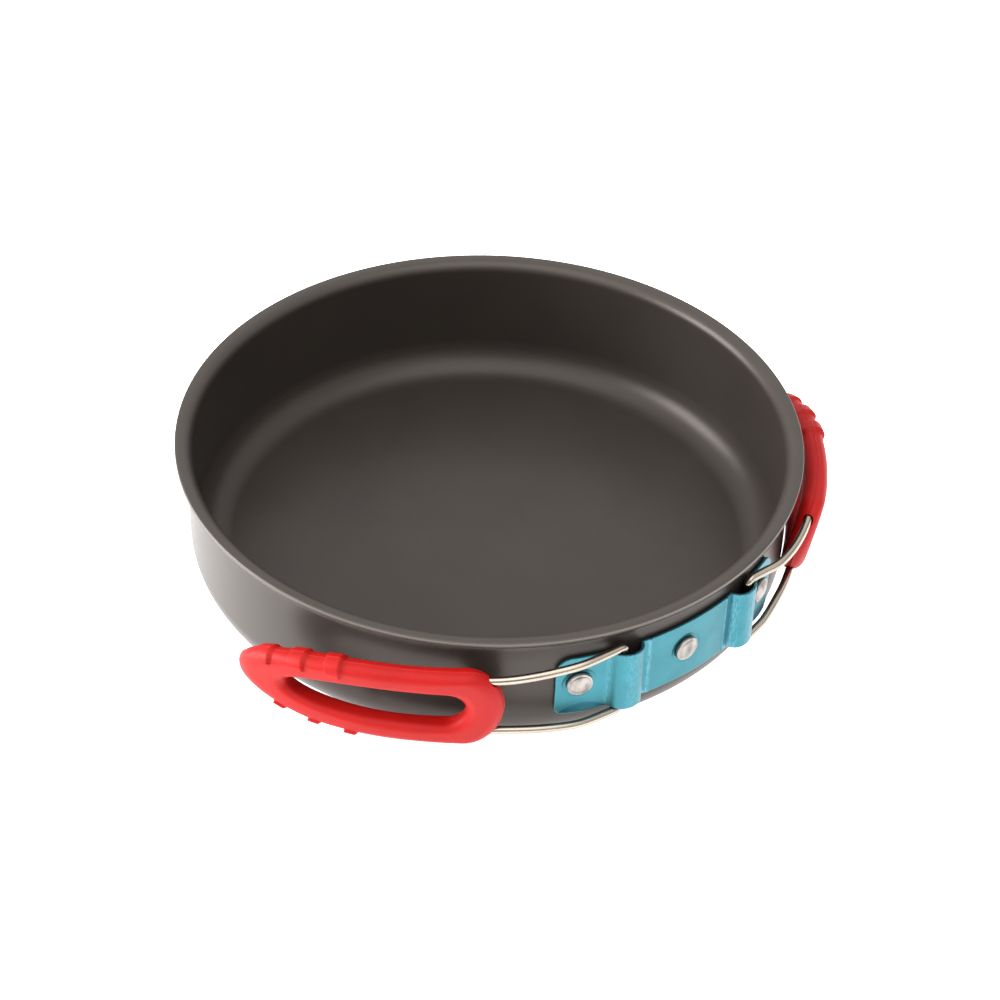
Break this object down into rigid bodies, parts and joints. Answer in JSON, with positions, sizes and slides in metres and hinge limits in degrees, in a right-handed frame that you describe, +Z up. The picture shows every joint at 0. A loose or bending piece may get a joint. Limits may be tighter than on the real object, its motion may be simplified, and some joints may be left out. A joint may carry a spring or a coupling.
{
  "type": "camping frying pan",
  "caption": "Shallow round aluminium camping pan with folding wire handles in silicone grips, hinged on a riveted teal bracket.",
  "frame": {"origin": "centre of the flat base, on the surface that the pan stands on", "axes": "+Z up out of the pan, -Y towards the handle bracket, +X to the right as seen from the bracket side"},
  "size_m": [0.2195, 0.2, 0.0454],
  "materials": {
    "hard_anodised": "dark matt hard-anodised, fine grain",
    "teal_anodised": "satin teal anodised with light scuffs",
    "rivet_metal": "bare satin aluminium",
    "stainless_wire": "drawn stainless wire, semi-bright",
    "red_silicone": "smooth matt red silicone"
  },
  "bodies": {
    "pan": {"pan_body": "hard_anodised", "handle_bracket": "teal_anodised", "rivet_left": "rivet_metal", "rivet_centre": "rivet_metal", "rivet_right": "rivet_metal"},
    "left_handle": {"wire_left": "stainless_wire", "grip_left": "red_silicone"},
    "right_handle": {"wire_right": "stainless_wire", "grip_right": "red_silicone"}
  },
  "joints": [
    {"name": "left_handle_fold", "type": "hinge", "parent": "pan", "child": "left_handle", "pos_m": [-0.02288, -0.09606, 0.0242], "axis": [0, 0, 1], "range_deg": [0, 133]},
    {"name": "right_handle_fold", "type": "hinge", "parent": "pan", "child": "right_handle", "pos_m": [0.02606, -0.09525, 0.0242], "axis": [0, 0, 1], "range_deg": [-133, 0]}
  ]
}
